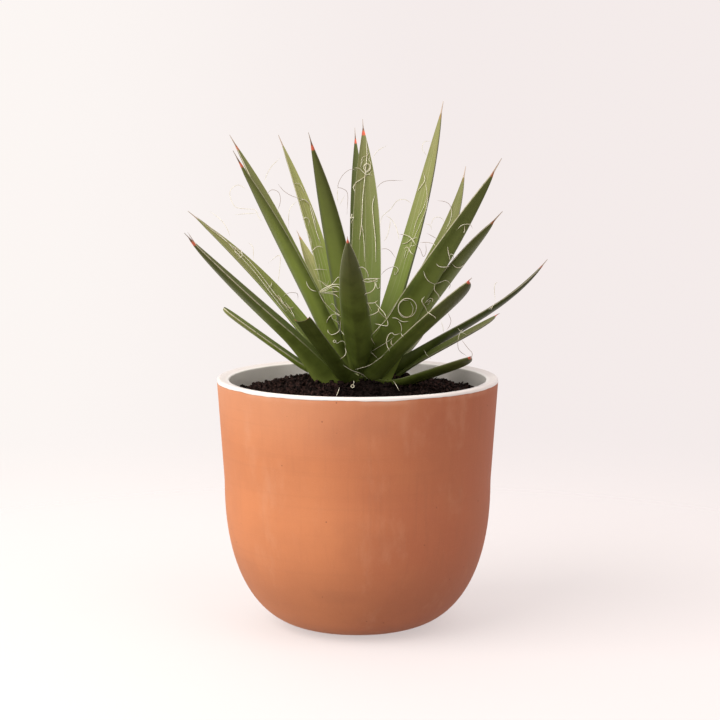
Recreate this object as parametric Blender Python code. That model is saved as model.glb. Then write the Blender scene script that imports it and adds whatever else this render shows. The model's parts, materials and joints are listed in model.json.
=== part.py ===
"""A thread-leaf agave in a turned clay pot.

Metres, +Z up. The origin is the middle of the pot's foot, on the surface that it stands on.
Every piece is its own object: the pot, the soil that fills it, the stem standing in a plain hole in
the soil, and each leaf, seated on the stem.
"""

import math
from typing import NamedTuple

import bpy
from mathutils import Vector

# Pot, turned in one piece
POT_HEIGHT = 0.157
MOUTH_RADIUS = 0.088
WALL_SLOPE = math.radians(3.9)
WALL = 0.0076
FOOT_RADIUS = 0.0285
CORNER_HEIGHT = 0.092
CORNER_POWER = 2.3
FLOOR = 0.009
POT_SIDES = 64
CORNER_STEPS = 11
RIM_STEPS = 8

# Clearance between pieces that touch on the real plant
GAP = 0.0003

# Soil, measured up from the rim
SOIL_EDGE = -0.011
SOIL_CROWN = 0.0
HEAP_RADIUS = 0.040
# The hole's side: radius and height, from the heap in to the stem
DIP = ((0.0330, -0.0014), (0.0255, -0.0042), (0.0175, -0.0120))

# Stem: an egg-shaped crown that the leaves sit on, over a tapered root stub
PLANT_OFFSET = 0.0025
CROWN_WIDTH = 0.014
CROWN_TOP = 0.024
CROWN_MIDDLE = -0.008
STEM_SIDES = 32
NECK_DEPTH = 0.012
ROOT_RADIUS = 0.005
ROOT_DEPTH = 0.045
CROWN_RINGS = 9

# Leaves
SEAT_GAP = 0.0007
RIM_THICKNESS = 0.0008
BELLY = 0.28
CHANNEL = 0.12
SPINE_RADIUS = 0.0008
SPINE_TIP = 0.00035
BLUNT_TIP = 0.0012
CUT_BITE = 0.0025
LEAF_STATIONS = 13


class Leaf(NamedTuple):
    """One leaf. Angles are in degrees, the seat is measured up from the rim."""

    azimuth: float
    rise: float
    length: float
    width: float
    seat: float
    arch: float = 0.0
    sweep: float = 0.0
    twist: float = 0.0
    curl: float = 0.0
    end: str = "spine"


# From the oldest and lowest leaf to the youngest in the middle
LEAVES = (
    Leaf(183.5, 34.8, 0.087, 0.0150, -0.0055, 0.0000, 0.0030, 8, 0, "blunt"),
    Leaf(148.5, 25.0, 0.036, 0.0108, -0.0054, 0.0000, 0.0000, 0, 0, "blunt"),
    Leaf(119, 25.0, 0.070, 0.0125, -0.0032),
    Leaf(56.0, 23.5, 0.074, 0.0126, -0.0031),
    Leaf(87, 31.0, 0.084, 0.0120, -0.0055),
    Leaf(211.5, 40.4, 0.145, 0.0170, -0.0005, 0.0015, -0.0055, 9),
    Leaf(243.3, 37.5, 0.077, 0.0180, -0.0042, 0.0000, -0.0010, 0, 0, "cut"),
    Leaf(322.2, 17.4, 0.073, 0.0136, -0.0026, -0.0015, 0.0010, -5, 0, "blunt"),
    Leaf(358.2, 29.2, 0.082, 0.0142, -0.0009, 0.0020, 0.0000, 12, 0, "blunt"),
    Leaf(112, 37.5, 0.134, 0.0140, 0.0023, 0.0050),
    Leaf(156, 42.0, 0.147, 0.0160, 0.0010, -0.0040, -0.0150),
    Leaf(33.5, 21.4, 0.147, 0.0145, 0.0044, 0.0025, -0.0080, 0, 0.0080),
    Leaf(304.3, 34.5, 0.118, 0.0180, 0.0020, 0.0005, -0.0040, 0, 0, "blunt"),
    Leaf(327, 48.2, 0.134, 0.0170, 0.0060, 0.0045, -0.0045),
    Leaf(49, 48.5, 0.151, 0.0135, 0.0073, 0.0005, -0.0070, 0, 0.010),
    Leaf(266, 39.5, 0.141, 0.0175, 0.0050),
    Leaf(91.8, 53.0, 0.183, 0.0130, 0.0056, 0.0035, -0.0010),
    Leaf(217, 58.5, 0.160, 0.0170, 0.0070, 0.0000, 0.0040, 8),
    Leaf(143, 56.3, 0.170, 0.0160, 0.0066, 0.0040, -0.0010),
    Leaf(317.5, 51.5, 0.163, 0.0175, 0.0110, 0.0025),
    Leaf(133, 63.0, 0.154, 0.0153, 0.0099, 0.0000, -0.0040),
    Leaf(243, 66.5, 0.153, 0.0175, 0.0120, -0.0025, 0.0035),
    Leaf(90.2, 63.5, 0.163, 0.0180, 0.0125, 0.0035, -0.0025),
    Leaf(33, 70.2, 0.167, 0.0150, 0.0132, 0.0010, -0.0055),
    Leaf(190, 78.0, 0.085, 0.0110, 0.0140),
    Leaf(258, 81.0, 0.046, 0.0100, 0.0148),
    Leaf(80, 80.0, 0.032, 0.0090, 0.0152),
    Leaf(200, 86.0, 0.055, 0.0070, 0.0158),
)


def clear_scene():
    for obj in list(bpy.data.objects):
        bpy.data.objects.remove(obj, do_unlink=True)


def material(name, colour, roughness):
    made = bpy.data.materials.new(name)
    made.use_nodes = True
    shader = made.node_tree.nodes["Principled BSDF"]
    shader.inputs["Base Color"].default_value = (*colour, 1)
    shader.inputs["Roughness"].default_value = roughness
    shader.inputs["Metallic"].default_value = 0
    return made


def mesh_object(name, points, faces, finish, parent=None, sharp=40):
    mesh = bpy.data.meshes.new(name)
    mesh.from_pydata(points, [], faces)
    mesh.materials.append(finish)
    mesh.shade_smooth()
    mesh.set_sharp_from_angle(angle=math.radians(sharp))
    obj = bpy.data.objects.new(name, mesh)
    obj.parent = parent
    bpy.context.scene.collection.objects.link(obj)
    return obj


def turned(name, profile, sides, finish, parent=None):
    """A solid of revolution. The profile runs from the axis below to the axis above or inside.

    A third number in a profile point moves that ring's middle along +X.
    """
    points = []
    rings = []
    for radius, height, *shift in profile:
        middle = sum(shift)
        if radius == 0:
            rings.append([len(points)])
            points.append((middle, 0, height))
            continue
        rings.append(range(len(points), len(points) + sides))
        for side in range(sides):
            angle = math.tau * side / sides
            points.append((middle + radius * math.cos(angle), radius * math.sin(angle), height))
    faces = []
    for low, high in zip(rings, rings[1:]):
        for side in range(sides):
            after = (side + 1) % sides
            if len(low) == 1:
                faces.append((low[0], high[after], high[side]))
            elif len(high) == 1:
                faces.append((low[side], low[after], high[0]))
            else:
                faces.append((low[side], low[after], high[after], high[side]))
    return mesh_object(name, points, faces, finish, parent)


def wall_radius(height):
    """The conical wall, carried down to the floor."""
    return MOUTH_RADIUS - (POT_HEIGHT - height) * math.tan(WALL_SLOPE)


def bowl_curve(inset, floor, steps):
    """Points up the big rounded corner, from the flat foot to where the straight wall starts."""
    foot = FOOT_RADIUS - floor / 3
    reach = wall_radius(CORNER_HEIGHT) - inset - foot
    points = []
    for step in range(steps + 1):
        angle = math.pi / 2 * step / steps
        radius = foot + reach * math.sin(angle) ** (2 / CORNER_POWER)
        height = floor + (CORNER_HEIGHT - floor) * (1 - math.cos(angle) ** (2 / CORNER_POWER))
        points.append((radius, height))
    return points


def pot_profile():
    rim_radius = WALL / 2
    rim_height = POT_HEIGHT - rim_radius
    rim_middle = wall_radius(rim_height) - rim_radius
    profile = [(0, 0)]
    profile += bowl_curve(0, 0, CORNER_STEPS)
    for step in range(RIM_STEPS + 1):
        angle = math.pi * step / RIM_STEPS
        profile.append((rim_middle + rim_radius * math.cos(angle), rim_height + rim_radius * math.sin(angle)))
    profile += reversed(bowl_curve(WALL, FLOOR, CORNER_STEPS))
    profile.append((0, FLOOR))
    return profile


def soil_profile():
    """Up the inside of the pot, over the crown, and down into the plain hole for the stem."""
    inset = WALL + GAP
    profile = [(0, FLOOR + GAP)]
    profile += bowl_curve(inset, FLOOR + GAP, CORNER_STEPS)
    edge_radius = wall_radius(POT_HEIGHT + SOIL_EDGE) - inset
    for step in range(5):
        along = step / 4
        radius = edge_radius + (HEAP_RADIUS - edge_radius) * along
        rise = SOIL_EDGE + (SOIL_CROWN - SOIL_EDGE) * math.sin(math.pi / 2 * along)
        profile.append((radius, POT_HEIGHT + rise, PLANT_OFFSET * along))
    for radius, height in DIP:
        profile.append((radius, POT_HEIGHT + height, PLANT_OFFSET))
    foot, stub, *sides = stem_profile()[:-CROWN_RINGS]
    for radius, height in reversed(sides):
        profile.append((radius + GAP, POT_HEIGHT + height, PLANT_OFFSET))
    for radius, height in ((stub[0] + GAP, stub[1] - GAP), (0, foot[1] - GAP)):
        profile.append((radius, POT_HEIGHT + height, PLANT_OFFSET))
    return profile


def crown_radius(height):
    """The stem's radius at a height above the rim."""
    across = (height - CROWN_MIDDLE) / CROWN_TOP
    return CROWN_WIDTH * math.sqrt(max(0, 1 - across * across))


def stem_profile():
    neck = CROWN_MIDDLE - NECK_DEPTH
    profile = [(0, neck - ROOT_DEPTH), (ROOT_RADIUS, neck - ROOT_DEPTH)]
    profile.append((ROOT_RADIUS * 1.6, neck - ROOT_DEPTH / 3))
    profile.append((crown_radius(neck), neck))
    for step in range(CROWN_RINGS):
        angle = math.pi / 2 * step / (CROWN_RINGS - 1)
        height = CROWN_MIDDLE + CROWN_TOP * math.sin(angle)
        profile.append((0 if step == CROWN_RINGS - 1 else crown_radius(height), height))
    return profile


def taper(end, along):
    """How much of the full width is left, from seat to tip."""
    if end == "blunt":
        return (1 - along**6) ** 0.6
    if end == "cut":
        return 1 - 0.30 * along**2
    return (1 - (along / 0.95) ** 4.5) ** 1.1 if along < 0.95 else 0


def half_breadth(leaf, along):
    seated = min(0.60, crown_radius(leaf.seat) / CROWN_WIDTH)
    base = 1 - (1 - seated) * math.exp(-along / 0.05)
    blade = leaf.width / 2 * base * taper(leaf.end, along)
    if leaf.end == "spine":
        return max(blade, SPINE_RADIUS + (SPINE_TIP - SPINE_RADIUS) * max(0, along - 0.9) / 0.1)
    return max(blade, BLUNT_TIP)


def belly(leaf, along):
    """Thickness from the upper face down to the keel."""
    base = 0.8 + 0.2 * (1 - math.exp(-along / 0.05))
    blade = BELLY * leaf.width * base * (1 - 0.45 * along) * math.sqrt(taper(leaf.end, along))
    return max(blade, 1.4 * min(half_breadth(leaf, along), BLUNT_TIP), 2 * SPINE_TIP)


def centre_line(leaf, along):
    """A point of the upper face's middle line, with the leaf pointing along +X."""
    rise = math.radians(leaf.rise)
    outward = Vector((math.cos(rise), 0, math.sin(rise)))
    upward = Vector((-math.sin(rise), 0, math.cos(rise)))
    bend = 1 - max(0, 1 - along / 0.35) ** 2 - along
    lift = leaf.curl * max(0, (along - 0.6) / 0.4) ** 2
    seat = Vector((crown_radius(leaf.seat), 0, leaf.seat))
    sideways = Vector((0, 4 * along * (1 - along) * leaf.sweep, 0))
    return seat + leaf.length * along * outward + (leaf.arch * bend + lift) * upward + sideways


def section(half, deep):
    """Eight points round the blade: a channelled upper face, thin margins and a rounded back."""
    margin = min(RIM_THICKNESS, 1.2 * half, 0.8 * deep)
    return (
        (half, 0),
        (0, -CHANNEL * half),
        (-half, 0),
        (-half, -margin),
        (-0.55 * half, -0.8 * deep),
        (0, -deep),
        (0.55 * half, -0.8 * deep),
        (half, -margin),
    )


def onto_crown(point, direction):
    """Slides a point along a direction to the stem's surface, with the seat's clearance."""
    scale = Vector((1 / (CROWN_WIDTH + SEAT_GAP), 1 / (CROWN_WIDTH + SEAT_GAP), 1 / (CROWN_TOP + SEAT_GAP)))
    start = (point - Vector((0, 0, CROWN_MIDDLE))) * scale
    step = direction * scale
    square = step.dot(step)
    cross = start.dot(step)
    inside = cross * cross - square * (start.dot(start) - 1)
    return point + direction * ((math.sqrt(max(0, inside)) - cross) / square)


def leaf_mesh(leaf):
    twist = math.radians(leaf.twist)
    points = []
    for station in range(LEAF_STATIONS + 1):
        along = (1 - math.cos(math.pi * station / LEAF_STATIONS)) / 2
        here = centre_line(leaf, along)
        tangent = (centre_line(leaf, along + 0.01) - centre_line(leaf, along - 0.01)).normalized()
        side = Vector((0, 1, 0))
        side = (side - tangent * side.dot(tangent)).normalized()
        up = tangent.cross(side)
        across = side * math.cos(twist) + up * math.sin(twist)
        above = up * math.cos(twist) - side * math.sin(twist)
        half = half_breadth(leaf, along)
        for x, z in section(half, belly(leaf, along)):
            point = here + across * x + above * z
            if station == 0:
                point = onto_crown(point, tangent)
            elif station == LEAF_STATIONS and leaf.end == "cut":
                point -= tangent * CUT_BITE * (1 - (x / half) ** 2)
            points.append(point)
    around = len(section(1, 1))
    last = LEAF_STATIONS * around
    faces = []
    for first, second, third, fourth in ((0, 1, 6, 7), (1, 4, 5, 6), (1, 2, 3, 4)):
        faces.append((fourth, third, second, first))
        faces.append((last + first, last + second, last + third, last + fourth))
    for station in range(LEAF_STATIONS):
        low = station * around
        high = low + around
        for corner in range(around):
            after = (corner + 1) % around
            faces.append((low + corner, low + after, high + after, high + corner))
    return points, faces


def build():
    clear_scene()
    clay = material("fired_clay", (0.52, 0.20, 0.09), 0.75)
    peat = material("peat", (0.03, 0.018, 0.014), 0.95)
    crown = material("pale_crown", (0.30, 0.33, 0.14), 0.6)
    green = material("agave_green", (0.09, 0.16, 0.03), 0.5)
    turned("pot", pot_profile(), POT_SIDES, clay)
    turned("soil", soil_profile(), POT_SIDES, peat)
    plant = bpy.data.objects.new("plant", None)
    plant.location = (PLANT_OFFSET, 0, POT_HEIGHT)
    bpy.context.scene.collection.objects.link(plant)
    turned("stem", stem_profile(), STEM_SIDES, crown, plant)
    for number, leaf in enumerate(LEAVES, start=1):
        points, faces = leaf_mesh(leaf)
        blade = mesh_object(f"leaf_{number:02d}", points, faces, green, plant, 50)
        blade.rotation_euler.z = math.radians(leaf.azimuth)


build()
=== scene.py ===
import json
import math
from typing import NamedTuple

import bpy
import numpy as np
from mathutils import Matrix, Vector
from mathutils.bvhtree import BVHTree

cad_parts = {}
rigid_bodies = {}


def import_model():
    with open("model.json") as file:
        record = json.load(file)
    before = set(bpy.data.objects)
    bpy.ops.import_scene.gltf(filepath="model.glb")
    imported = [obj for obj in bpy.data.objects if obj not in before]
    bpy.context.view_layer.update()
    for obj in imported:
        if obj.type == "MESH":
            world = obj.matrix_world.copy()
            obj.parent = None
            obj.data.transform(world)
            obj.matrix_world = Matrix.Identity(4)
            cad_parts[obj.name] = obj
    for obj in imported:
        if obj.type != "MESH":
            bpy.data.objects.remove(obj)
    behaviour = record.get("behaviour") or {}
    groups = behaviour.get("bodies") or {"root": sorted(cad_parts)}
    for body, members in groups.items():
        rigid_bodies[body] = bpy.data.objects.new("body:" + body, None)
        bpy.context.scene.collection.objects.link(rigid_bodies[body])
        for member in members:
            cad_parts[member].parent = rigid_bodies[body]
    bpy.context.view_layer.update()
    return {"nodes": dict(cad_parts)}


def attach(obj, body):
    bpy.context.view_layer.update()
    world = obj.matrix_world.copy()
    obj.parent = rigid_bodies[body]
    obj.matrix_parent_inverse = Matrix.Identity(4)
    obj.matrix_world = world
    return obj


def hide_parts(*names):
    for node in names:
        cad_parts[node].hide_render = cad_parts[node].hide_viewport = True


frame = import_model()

# The pot is turned from red clay, fired bare outside, and glazed off-white inside and over the
# rim. The wheel leaves a rounded wall and a big soft corner down to a small flat foot.
POT_HEIGHT = 0.157
MOUTH_RADIUS = 0.088
WALL_SLOPE = math.radians(3.9)
WALL = 0.0076
FOOT_RADIUS = 0.0285
CORNER_HEIGHT = 0.092
CORNER_POWER = 2.3
POT_FLOOR = 0.009
GLAZE_LINE = 0.0028
LIP_TOP = 0.1565
LIP_SLOPE = math.radians(10.5)
LIP_OUTER_ROUND = 0.0016
LIP_INNER_ROUND = 0.0009
CLAY_ORANGE = (0.577, 0.207, 0.080, 1)
# painted shade: the darker, pinker clay on the side away from the light
CLAY_SHADE_PINK = (0.408, 0.119, 0.052, 1)
# darker clay: for patches, marks and a dark cloud, and as painted shade towards the foot
CLAY_DARK_AND_SHADE = (0.300, 0.105, 0.050, 1)
# pale dusty clay, also used as painted light high on the lit left side
CLAY_DUST_AND_LIGHT = (0.640, 0.330, 0.200, 1)
GLAZE_WHITE = (0.815, 0.745, 0.700, 1)
# painted light: a lighter white that brightens the shaded wall inside
GLAZE_PAINTED_LIGHT = (0.930, 0.890, 0.840, 1)
GLAZE_GREY = (0.700, 0.640, 0.570, 1)
CLAY_PIT = (0.16, 0.05, 0.025, 1)
DARK_CLOUD_AT = (-0.0130, -0.060, 0.033)
POT_SIDES = 192
CORNER_STEPS = 30
INNER_CORNER_STEPS = 12
WALL_STEPS = 14
CREST_STEPS = 9
EDGE_STEPS = 8


class Wire:
    """One value in a node tree. Sums on it add Math nodes."""

    def __init__(self, tree, socket=None):
        self.tree = tree
        self.socket = socket

    def node(self, kind, settings=(), sockets=(), out=0):
        """Any other node: its settings first, then its sockets' values or links."""
        made = self.tree.nodes.new(kind)
        for name, value in dict(settings).items():
            setattr(made, name, value)
        for name, value in dict(sockets).items():
            if isinstance(value, Wire):
                self.tree.links.new(value.socket, made.inputs[name])
            else:
                made.inputs[name].default_value = value
        return Wire(self.tree, made.outputs[out] if len(made.outputs) else None)

    def __add__(self, other):
        return self.node("ShaderNodeMath", {"operation": "ADD"}, {0: self, 1: other})

    def __sub__(self, other):
        return self.node("ShaderNodeMath", {"operation": "SUBTRACT"}, {0: self, 1: other})

    def __rsub__(self, other):
        return self.node("ShaderNodeMath", {"operation": "SUBTRACT"}, {0: other, 1: self})

    def __mul__(self, other):
        return self.node("ShaderNodeMath", {"operation": "MULTIPLY"}, {0: self, 1: other})

    __radd__ = __add__
    __rmul__ = __mul__


def new_finish(name, constants):
    """A material with its shader's constants set, and the wire that its nodes start from."""
    finish = bpy.data.materials.new(name)
    finish.use_nodes = True
    shader = finish.node_tree.nodes["Principled BSDF"]
    for socket, value in constants.items():
        shader.inputs[socket].default_value = value
    return finish, Wire(finish.node_tree), shader


def feed(shader, **wires):
    """Links wires to the shader's sockets by their names."""
    for name, wire in wires.items():
        wire.tree.links.new(wire.socket, shader.inputs[name.replace("_", " ")])


def between(value, low, high):
    """Rises smoothly from 0 at low to 1 at high."""
    limits = {"Value": value, "From Min": low, "From Max": high}
    return value.node("ShaderNodeMapRange", {"interpolation_type": "SMOOTHSTEP"}, limits)


def mix(share, under, over):
    """Lays one colour over another by a share from 0 to 1."""
    return share.node("ShaderNodeMix", {"data_type": "RGBA"}, {0: share, 6: under, 7: over}, 2)


def axis(place, name):
    """One coordinate of a place: X, Y or Z."""
    return place.node("ShaderNodeSeparateXYZ", {}, {0: place}, name)


def stored(start, name, out="Fac"):
    """What the mesh keeps at each point under a name."""
    return start.node("ShaderNodeAttribute", {"attribute_name": name}, out=out)


def keep(mesh, name, values, kind="FLOAT"):
    """Stores a number or a vector at each point of a mesh."""
    layer = mesh.attributes.new(name, kind, "POINT")
    layer.data.foreach_set("value" if kind == "FLOAT" else "vector", np.asarray(values, np.float32).ravel())


def stretched(place, x, y, z):
    """A place scaled by so many features per metre each way."""
    return place.node("ShaderNodeVectorMath", {"operation": "MULTIPLY"}, {0: place, 1: (x, y, z)})


def cloud(place, scale, detail=2, rough=0.5):
    """Soft noise about a half, with so many features per metre."""
    sockets = {"Vector": place, "Scale": scale, "Detail": detail, "Roughness": rough}
    return place.node("ShaderNodeTexNoise", {}, sockets)


def show(name, mesh, finish=None):
    """Puts a mesh in the scene at the origin, with its finish."""
    obj = bpy.data.objects.new(name, mesh)
    bpy.context.scene.collection.objects.link(obj)
    if finish:
        mesh.materials.clear()
        mesh.materials.append(finish)
    return obj


def turned_mesh(name, profile, sides):
    """Spins a profile of (radius, height), axis below to axis inside, about +Z."""
    turn = np.arange(sides) * math.tau / sides
    points = [(0.0, 0.0, profile[0][1])]
    for radius, height in profile[1:-1]:
        points += [(radius * math.cos(a), radius * math.sin(a), height) for a in turn]
    points.append((0.0, 0.0, profile[-1][1]))
    faces = []
    rings = len(profile) - 2
    for ring in range(rings + 1):
        for side in range(sides):
            after = (side + 1) % sides
            low = 1 + (ring - 1) * sides
            high = low + sides
            if ring == 0:
                faces.append((0, high + after, high + side))
            elif ring == rings:
                faces.append((low + side, low + after, len(points) - 1))
            else:
                faces.append((low + side, low + after, high + after, high + side))
    mesh = bpy.data.meshes.new(name)
    mesh.from_pydata(points, [], faces)
    mesh.shade_smooth()
    return mesh


def wall_radius(height):
    """How far out the pot's straight wall stands at a height."""
    return MOUTH_RADIUS - (POT_HEIGHT - height) * math.tan(WALL_SLOPE)


def corner(inset, floor, steps):
    """Up the rounded corner, from the foot to the start of the straight wall."""
    foot = FOOT_RADIUS - floor / 3
    reach = wall_radius(CORNER_HEIGHT) - inset - foot
    points = []
    for angle in np.linspace(0, math.pi / 2, steps):
        radius = foot + reach * math.sin(angle) ** (2 / CORNER_POWER)
        rise = 1 - math.cos(angle) ** (2 / CORNER_POWER)
        points.append((radius, floor + (CORNER_HEIGHT - floor) * rise))
    return points


def rounding(centre, radius, first, last, steps):
    """Part of a circle in the profile, between two angles."""
    angles = np.linspace(first, last, steps)
    return [(centre[0] + radius * math.cos(a), centre[1] + radius * math.sin(a)) for a in angles]


def pot_profile():
    """Up the outside, over a lip that slopes inward, and down the inside."""
    start = LIP_TOP - LIP_OUTER_ROUND
    outside = corner(0, 0, CORNER_STEPS)
    for height in np.linspace(CORNER_HEIGHT, start, WALL_STEPS)[1:-1]:
        outside.append((wall_radius(height), height))
    across = math.pi / 2 + LIP_SLOPE
    outer = (wall_radius(start) - LIP_OUTER_ROUND, start)
    crest = rounding(outer, LIP_OUTER_ROUND, 0, across, CREST_STEPS)
    inner_radius = wall_radius(start) - WALL + LIP_INNER_ROUND
    slope_end = inner_radius + LIP_INNER_ROUND * math.cos(across)
    fall = (crest[-1][0] - slope_end) * math.tan(LIP_SLOPE)
    inner = (inner_radius, crest[-1][1] - fall - LIP_INNER_ROUND * math.sin(across))
    edge = rounding(inner, LIP_INNER_ROUND, across, math.pi, EDGE_STEPS)
    inside = reversed(corner(WALL, POT_FLOOR, INNER_CORNER_STEPS))
    return [(0, 0), *outside, *crest, *edge, *inside, (0, POT_FLOOR)]


def pot_finish():
    finish, start, shader = new_finish("fired_clay_and_glaze", {"IOR": 1.46, "Coat Roughness": 0.10})
    place = start.node("ShaderNodeTexCoord", out="Object")
    side, height = axis(place, "X"), axis(place, "Z")
    past = stored(start, "past_glaze_line")
    edge = cloud(stretched(place, 1, 1, 0.2), 34, 3, 0.6) - 0.5
    glazed = between(past + edge * 0.0024, -0.00008, 0.00012)
    # clay: orange, wiped upright, most on the right, under a dusty bloom
    drift = cloud(place, 15, 4, 0.6) - 0.5
    # painted shade: the clay turns darker and pinker towards the right, away from the light
    shade_side = between(side + drift * 0.09, -0.058, 0.078)
    patches = between(cloud(place, 24, 3, 0.6), 0.42, 0.66)
    wiped = cloud(stretched(place, 330, 330, 9), 1, 3, 0.62)
    turned = cloud(stretched(place, 5, 5, 330), 1, 2, 0.5)
    # painted shade: the clay darkens towards the foot, which faces down, away from the light
    foot = between(height + drift * 0.05, 0.066, 0.030)
    foot = foot * (1 - between(height, 0.026, 0.010) * 0.6)
    # painted light: paler clay high on the left, the lit side
    shoulder_light = between(past + drift * 0.03, -0.040, 0.002) * (1 - shade_side)
    bloom = between(cloud(stretched(place, 1, 1, 0.45), 30, 5, 0.68), 0.54, 0.76)
    grain = cloud(place, 2100, 2, 0.6)
    clay = mix(shade_side, CLAY_ORANGE, CLAY_SHADE_PINK)
    clay = mix(patches * 0.13, clay, CLAY_DARK_AND_SHADE)
    # a darker cloud, low on the front
    from_dark_cloud = start.node("ShaderNodeVectorMath", {"operation": "SUBTRACT"}, {0: place, 1: DARK_CLOUD_AT})
    from_dark_cloud = stretched(from_dark_cloud, 1, 0.2, 3)
    from_dark_cloud = start.node("ShaderNodeVectorMath", {"operation": "LENGTH"}, {0: from_dark_cloud}, "Value")
    clay = mix(between(from_dark_cloud + drift * 0.016, 0.020, 0.004) * 0.20, clay, CLAY_DARK_AND_SHADE)
    clay = mix(between(wiped, 0.50, 0.72) * (0.05 + shade_side * 0.13), clay, CLAY_DARK_AND_SHADE)
    clay = mix(between(turned, 0.55, 0.75) * 0.06, clay, CLAY_DARK_AND_SHADE)
    # painted shade towards the foot
    clay = mix(foot * 0.33, clay, CLAY_DARK_AND_SHADE)
    # painted light on the lit left shoulder
    clay = mix(shoulder_light * 0.30, clay, CLAY_DUST_AND_LIGHT)
    clay = mix(bloom * 0.24, clay, CLAY_DUST_AND_LIGHT)
    clay = mix(between(grain, 0.58, 0.80) * 0.22, clay, CLAY_DUST_AND_LIGHT)
    clay = mix(between(grain, 0.40, 0.24) * 0.22, clay, CLAY_DARK_AND_SHADE)
    pits = start.node("ShaderNodeTexVoronoi", {}, {"Vector": place, "Scale": 80.0}, "Distance")
    clay = mix(between(pits, 0.050, 0.026) * 0.6, clay, CLAY_PIT)
    pale_rim = between(past, -0.0042, -0.0006) * between(edge, -0.10, 0.12)
    clay = mix(pale_rim * 0.35, clay, CLAY_DUST_AND_LIGHT)
    # glaze: off-white on the lip, and on the wall inside a lighter white, finely specked,
    # whose extra lightness is painted light on the shaded wall
    inside = between(past, 0.0150, 0.0180)
    speck = between(cloud(place, 1100, 2, 0.7), 0.54, 0.72)
    glaze = mix(between(past, 0.0095, 0.0150), GLAZE_WHITE, GLAZE_PAINTED_LIGHT)
    glaze = mix(inside * (0.02 + speck * 0.34), glaze, GLAZE_GREY)
    clay_relief = grain * 0.00005 + wiped * 0.00006 + turned * 0.00007
    glaze_relief = cloud(place, 140, 2) * 0.00014 + 0.00045
    high = clay_relief * (1 - glazed) + glaze_relief * glazed
    bump = start.node("ShaderNodeBump", {}, {"Strength": 1.0, "Distance": 1.0, "Height": high})
    feed(shader, Base_Color=mix(glazed, clay, glaze), Normal=bump)
    feed(shader, Roughness=0.70 - glazed * 0.34 + bloom * 0.10, Coat_Weight=glazed * 0.45)
    return finish


def mark_glaze(mesh, sides, outer_rings):
    """Stores how far each point of the pot lies past the edge of the glaze, up and over the rim."""
    heights = np.empty(len(mesh.vertices) * 3)
    mesh.vertices.foreach_get("co", heights)
    heights = heights[2::3]
    past = heights - (POT_HEIGHT - GLAZE_LINE)
    inside = np.arange(len(heights)) > outer_rings * sides
    past[inside] = 2 * GLAZE_LINE + WALL + (POT_HEIGHT - heights[inside])
    keep(mesh, "past_glaze_line", past)


pot = show("pot_turned", turned_mesh("pot_turned", pot_profile(), POT_SIDES), pot_finish())
mark_glaze(pot.data, POT_SIDES, CORNER_STEPS + WALL_STEPS - 2 + CREST_STEPS)
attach(pot, "root")
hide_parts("pot")

# The soil is dark peat, loosely filled. It is heaped to the rim round the plant and lies lower at
# the wall. A lumpy skin carries it, and loose crumbs cover the skin.
SOIL_EDGE = -0.0135
SOIL_MIDDLE = -0.0022
SOIL_DEPTH = 0.045
SOIL_INTO_WALL = 0.0004
HEAP_REACH = 1.2
HEAP_POWER = 1.3
SOIL_SIDES = 168
SOIL_RINGS = 54
LUMP = 0.0044
LUMP_GAIN = 2.6
LUMPS_PER_METRE = 150.0
LUMPS_START = POT_HEIGHT - 0.030
LUMPS_FULL = POT_HEIGHT - 0.012
CRUMB = 0.0023
CRUMBS_PER_M2 = 280000.0
CLOD = 0.0030
CLODS_PER_M2 = 70000.0
CLOD_LIFT = 0.0013
LOWEST_CRUMB = POT_HEIGHT - 0.0195
# the smallest and the largest crumb each way, as shares of the crumb's size
CRUMB_LEAST = (0.30, 0.30, 0.30)
CRUMB_MOST = (1.60, 1.60, 1.25)
SCATTER_SEED = 7
SIZE_SEED = 3
TURN_SEED = 5
PEAT_BLACK = (0.0060, 0.0032, 0.0026, 1)
PEAT_BROWN = (0.047, 0.0235, 0.0195, 1)
PEAT_FIBRE = (0.085, 0.052, 0.040, 1)
# painted shade: darker peat where the leaves cast their shade
PEAT_SHADE = (0.0040, 0.0018, 0.0012, 1)
# the middle of the painted shade on the peat in front of the plant's foot, where the leaves shade it
PEAT_SHADE_AT = (0.010, -0.038, 0.150)
PEAT_SHADE_ALL_WITHIN = 0.016
PEAT_SHADE_NONE_BEYOND = 0.034


def peat_finish():
    finish, start, shader = new_finish("peat", {"Roughness": 0.95, "Specular IOR Level": 0.10})
    place = start.node("ShaderNodeTexCoord", out="Object")
    tint = cloud(place, 420, 3, 0.65)
    peat = mix(between(tint, 0.42, 0.66), PEAT_BLACK, PEAT_BROWN)
    fibre = between(cloud(place, 1500, 2, 0.7), 0.66, 0.78)
    peat = mix(fibre * 0.6, peat, PEAT_FIBRE)
    # painted shade on the peat in front of the plant's foot
    shade_sockets = {0: place, 1: PEAT_SHADE_AT}
    from_peat_shade = start.node("ShaderNodeVectorMath", {"operation": "DISTANCE"}, shade_sockets, "Value")
    peat = mix(between(from_peat_shade, PEAT_SHADE_NONE_BEYOND, PEAT_SHADE_ALL_WITHIN) * 0.75, peat, PEAT_SHADE)
    relief = cloud(place, 2200, 3, 0.7)
    bump = start.node("ShaderNodeBump", {}, {"Strength": 0.8, "Distance": 0.0006, "Height": relief})
    feed(shader, Base_Color=peat, Normal=bump)
    return finish


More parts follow.
